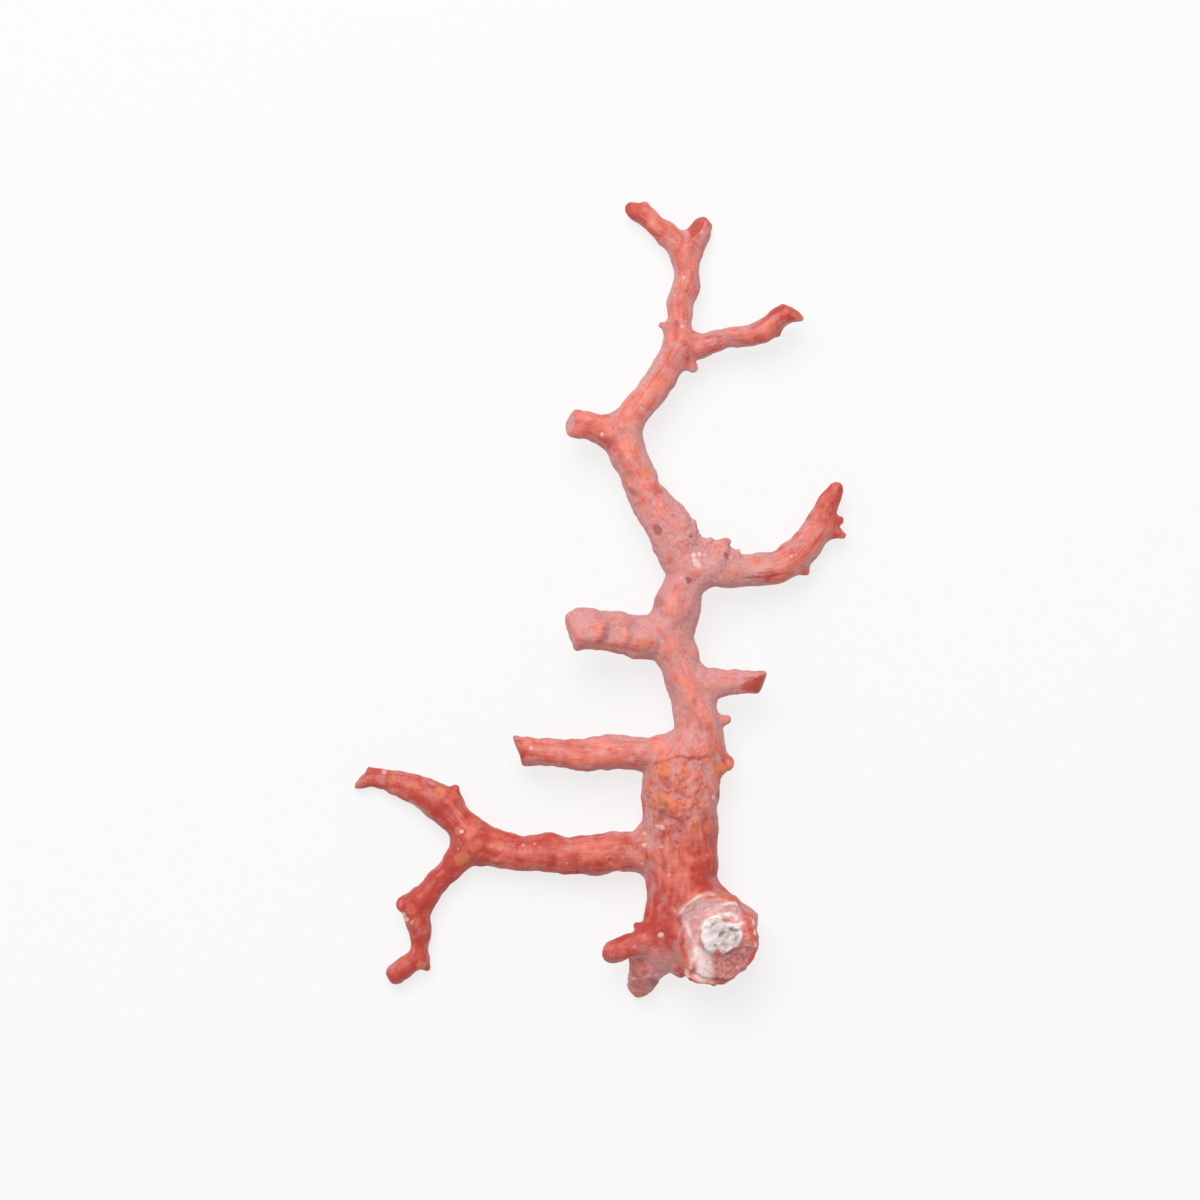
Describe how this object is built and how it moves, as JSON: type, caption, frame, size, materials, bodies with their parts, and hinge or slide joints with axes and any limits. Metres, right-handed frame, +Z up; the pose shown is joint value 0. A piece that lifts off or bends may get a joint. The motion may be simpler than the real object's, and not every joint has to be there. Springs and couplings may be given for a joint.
{
  "type": "red coral branch",
  "caption": "Branch of red coral lying down: a knobbly stem that zigzags up from a broken foot, with short snapped side limbs and curved twigs.",
  "frame": {"origin": "on the plane the branch rests on, below the middle of its outline seen from above", "axes": "+Y runs from the broken foot to the crown, +Z points up with the broken face of the foot towards it, and +X points to the side of the long curved limb"},
  "size_m": [0.0786, 0.1276, 0.0156],
  "materials": {
    "salmon_coral": "salmon red coral stone, satin, with a thin pale dusty film",
    "red_coral": "deeper red coral stone, satin",
    "foot_coral": "rough red coral stone with a chalky white broken face"
  },
  "bodies": {
    "root": {"foot": "foot_coral", "lower_trunk": "red_coral", "middle_trunk": "salmon_coral", "upper_trunk": "salmon_coral", "crown_stem": "salmon_coral", "crown_left_twig": "red_coral", "crown_right_stub": "red_coral", "top_right_branch": "salmon_coral", "top_left_stub": "salmon_coral", "long_right_branch": "salmon_coral", "thick_left_branch": "salmon_coral", "short_right_twig": "salmon_coral", "straight_left_branch": "red_coral", "low_left_stem": "red_coral", "low_left_upper_arm": "red_coral", "low_left_lower_arm": "red_coral"}
  },
  "joints": []
}
